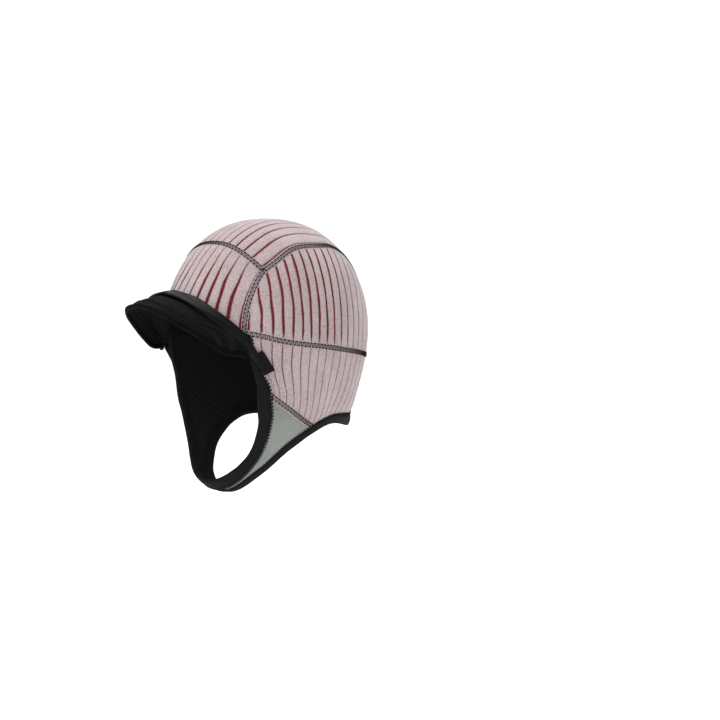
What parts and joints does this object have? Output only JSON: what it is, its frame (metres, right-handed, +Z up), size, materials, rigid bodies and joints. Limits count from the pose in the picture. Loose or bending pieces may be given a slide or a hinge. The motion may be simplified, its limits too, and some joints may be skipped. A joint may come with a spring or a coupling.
{
  "type": "neoprene cap",
  "caption": "Close fitting neoprene water cap with ribbed crown panels, chin flaps joined under the chin, knit face and neck bands, a brow lip and a short soft peak.",
  "frame": {"origin": "inside top of the crown, where the head carries the cap", "axes": "+Z up, the face opening and the peak towards -Y, the wearer's left towards +X"},
  "size_m": [0.16, 0.2439, 0.2475],
  "materials": {
    "ribbed_fabric": "matte",
    "flap_fabric": "matte",
    "band_knit": "matte",
    "smooth_skin": "satin",
    "peak_cloth": "matte"
  },
  "bodies": {
    "root": {"crown_centre_panel": "ribbed_fabric", "forehead_panel": "ribbed_fabric", "side_upper_left": "ribbed_fabric", "side_upper_right": "ribbed_fabric", "side_lower_left": "ribbed_fabric", "side_lower_right": "ribbed_fabric", "back_lower_panel": "ribbed_fabric", "chin_flap_left": "flap_fabric", "chin_flap_right": "flap_fabric", "face_band": "band_knit", "neck_band": "band_knit", "pull_tab_left": "band_knit", "pull_tab_right": "band_knit", "brow_lip": "smooth_skin", "peak_binding": "smooth_skin", "peak": "peak_cloth"}
  },
  "joints": []
}
